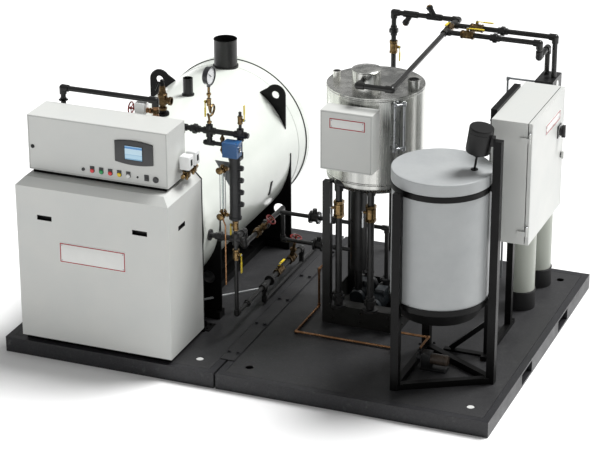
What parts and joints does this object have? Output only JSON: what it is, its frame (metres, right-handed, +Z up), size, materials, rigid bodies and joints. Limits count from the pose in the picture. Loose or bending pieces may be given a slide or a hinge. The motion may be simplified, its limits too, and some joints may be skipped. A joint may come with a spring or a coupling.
{
  "type": "packaged steam boiler plant",
  "caption": "Horizontal fire-tube steam boiler with burner cabinet, feedwater tank, chemical tank and water softeners, piped together on a two-part steel skid",
  "frame": {"origin": "middle of the skid's base, on the floor", "axes": "+X to the right along the burner front, +Y from the burner front to the back, +Z up"},
  "size_m": [3.242, 2.32, 1.8906],
  "materials": {
    "skid_paint": "semi-gloss charcoal enamel",
    "deck_paint": "semi-gloss charcoal enamel",
    "boiler_paint": "gloss off-white enamel",
    "cabinet_paint": "smooth light grey powder coat",
    "black_paint": "satin black enamel",
    "stand_paint": "satin charcoal enamel",
    "black_pipe": "black iron pipe, oiled",
    "pump_paint": "dark enamel",
    "panel_plastic": "satin black",
    "brass": "machined",
    "bronze": "cast",
    "copper": "drawn copper tube",
    "blue_plastic": "satin",
    "stainless": "polished sheet",
    "steel": "drawn",
    "galvanised": "dark coated pipe",
    "tank_plastic": "moulded polyethylene",
    "pump_plastic": "satin",
    "motor_paint": "satin black",
    "black_plastic": "satin",
    "resin_tank": "wound fibre and resin",
    "boot_rubber": "matte",
    "grey_plastic": "satin",
    "lever_yellow": "vinyl-dipped yellow",
    "lever_steel": "stainless",
    "handwheel_paint": "gloss dark red"
  },
  "bodies": {
    "plant": {"ball_valves": "brass", "boiler_piping": "black_pipe", "boiler_shell": "boiler_paint", "boiler_support": "black_paint", "burner_cabinet": "cabinet_paint", "cabinet_frame": "black_paint", "chemical_pump": "pump_plastic", "chemical_stand": "black_paint", "chemical_tank": "tank_plastic", "chemical_tank_lid": "tank_plastic", "column_manifold": "black_pipe", "control_box": "cabinet_paint", "copper_line": "copper", "deck_plates": "deck_paint", "drain_line": "grey_plastic", "enclosure_body": "cabinet_paint", "enclosure_rack": "black_paint", "feed_pumps": "pump_paint", "feed_tank_bottom": "stainless", "feed_tank_shell": "stainless", "feed_tank_top": "stainless", "gas_valves": "brass", "gauge_glass": "brass", "handwheel_valves": "bronze", "left_skid_frame": "skid_paint", "level_control_head": "blue_plastic", "level_gauge": "steel", "mixer": "motor_paint", "operator_panel": "panel_plastic", "pressure_gauge": "brass", "pump_piping": "black_pipe", "rear_head": "boiler_paint", "right_skid_frame": "skid_paint", "safety_valve": "bronze", "skid_joint_plate": "deck_paint", "softener_boots": "boot_rubber", "softener_tanks": "resin_tank", "softener_valve": "black_plastic", "stack_and_steam_outlet": "black_paint", "tank_control_box": "cabinet_paint", "tank_stand": "stand_paint", "vent_pipe": "black_pipe", "water_column": "black_paint", "water_piping": "galvanised"},
    "gauge_lever": {"gauge_lever": "lever_yellow"},
    "column_vent_lever": {"column_vent_lever": "lever_yellow"},
    "column_lever": {"column_lever": "lever_yellow"},
    "column_drain_lever": {"column_drain_lever": "lever_yellow"},
    "blowdown_lever": {"blowdown_lever": "lever_yellow"},
    "left_suction_lever": {"left_suction_lever": "lever_steel"},
    "right_suction_lever": {"right_suction_lever": "lever_steel"},
    "inlet_lever": {"inlet_lever": "lever_yellow"},
    "hard_water_lever": {"hard_water_lever": "lever_yellow"},
    "soft_water_lever": {"soft_water_lever": "lever_yellow"},
    "bypass_lever": {"bypass_lever": "lever_yellow"},
    "feedwater_handwheel": {"feedwater_handwheel": "handwheel_paint"},
    "blowdown_handwheel": {"blowdown_handwheel": "handwheel_paint"},
    "gas_handwheel": {"gas_handwheel": "handwheel_paint"},
    "enclosure_door": {"enclosure_door": "cabinet_paint"},
    "disconnect_handle": {"disconnect_handle": "black_plastic"}
  },
  "joints": [
    {"name": "gauge_lever_turn", "type": "hinge", "parent": "plant", "child": "gauge_lever", "pos_m": [-0.4707, -0.4835, 1.613], "axis": [-1, 0, 0], "range_deg": [0, 90]},
    {"name": "column_vent_lever_turn", "type": "hinge", "parent": "plant", "child": "column_vent_lever", "pos_m": [-0.22, -0.4835, 1.523], "axis": [1, 0, 0], "range_deg": [0, 90]},
    {"name": "column_lever_turn", "type": "hinge", "parent": "plant", "child": "column_lever", "pos_m": [-0.2826, -0.5475, 0.841], "axis": [-1, 0, 0], "range_deg": [0, 90]},
    {"name": "column_drain_lever_turn", "type": "hinge", "parent": "plant", "child": "column_drain_lever", "pos_m": [-0.22429, -0.5475, 0.644], "axis": [-1, 0, 0], "range_deg": [0, 90]},
    {"name": "blowdown_lever_turn", "type": "hinge", "parent": "plant", "child": "blowdown_lever", "pos_m": [-0.255, 0.1625, 0.27041], "axis": [0, 0, -1], "range_deg": [0, 90]},
    {"name": "left_suction_lever_turn", "type": "hinge", "parent": "plant", "child": "left_suction_lever", "pos_m": [0.25747, -0.20968, 0.91], "axis": [-1, 0, 0], "range_deg": [0, 90]},
    {"name": "right_suction_lever_turn", "type": "hinge", "parent": "plant", "child": "right_suction_lever", "pos_m": [0.47147, -0.20968, 0.91], "axis": [-1, 0, 0], "range_deg": [0, 90]},
    {"name": "inlet_lever_turn", "type": "hinge", "parent": "plant", "child": "inlet_lever", "pos_m": [0.25641, 1.0375, 1.573], "axis": [-1, 0, 0], "range_deg": [0, 90]},
    {"name": "hard_water_lever_turn", "type": "hinge", "parent": "plant", "child": "hard_water_lever", "pos_m": [0.827, 0.9225, 1.84841], "axis": [0, 0, 1], "range_deg": [0, 90]},
    {"name": "soft_water_lever_turn", "type": "hinge", "parent": "plant", "child": "soft_water_lever", "pos_m": [0.812, 0.7705, 1.84841], "axis": [0, 0, -1], "range_deg": [0, 90]},
    {"name": "bypass_lever_turn", "type": "hinge", "parent": "plant", "child": "bypass_lever", "pos_m": [0.662, 0.8465, 1.84841], "axis": [0, 0, -1], "range_deg": [0, 90]},
    {"name": "feedwater_handwheel_turn", "type": "hinge", "parent": "plant", "child": "feedwater_handwheel", "pos_m": [-0.16503, -0.1875, 0.75159], "axis": [0.6816, 0, 0.7317], "range_deg": [0, 1080]},
    {"name": "blowdown_handwheel_turn", "type": "hinge", "parent": "plant", "child": "blowdown_handwheel", "pos_m": [-0.22106, 0.3805, 0.3904], "axis": [0.2095, 0, 0.9778], "range_deg": [0, 1080]},
    {"name": "gas_handwheel_turn", "type": "hinge", "parent": "plant", "child": "gas_handwheel", "pos_m": [-0.885, -0.6875, 1.586], "axis": [-1, 0, 0], "range_deg": [0, 1080]},
    {"name": "enclosure_door_hinge", "type": "hinge", "parent": "plant", "child": "enclosure_door", "pos_m": [1.589, -0.43545, 1.337], "axis": [0, 0, -1], "range_deg": [0, 110]},
    {"name": "disconnect_turn", "type": "hinge", "parent": "enclosure_door", "child": "disconnect_handle", "pos_m": [1.609, 0.17255, 1.475], "axis": [1, 0, 0], "range_deg": [0, 90]}
  ]
}
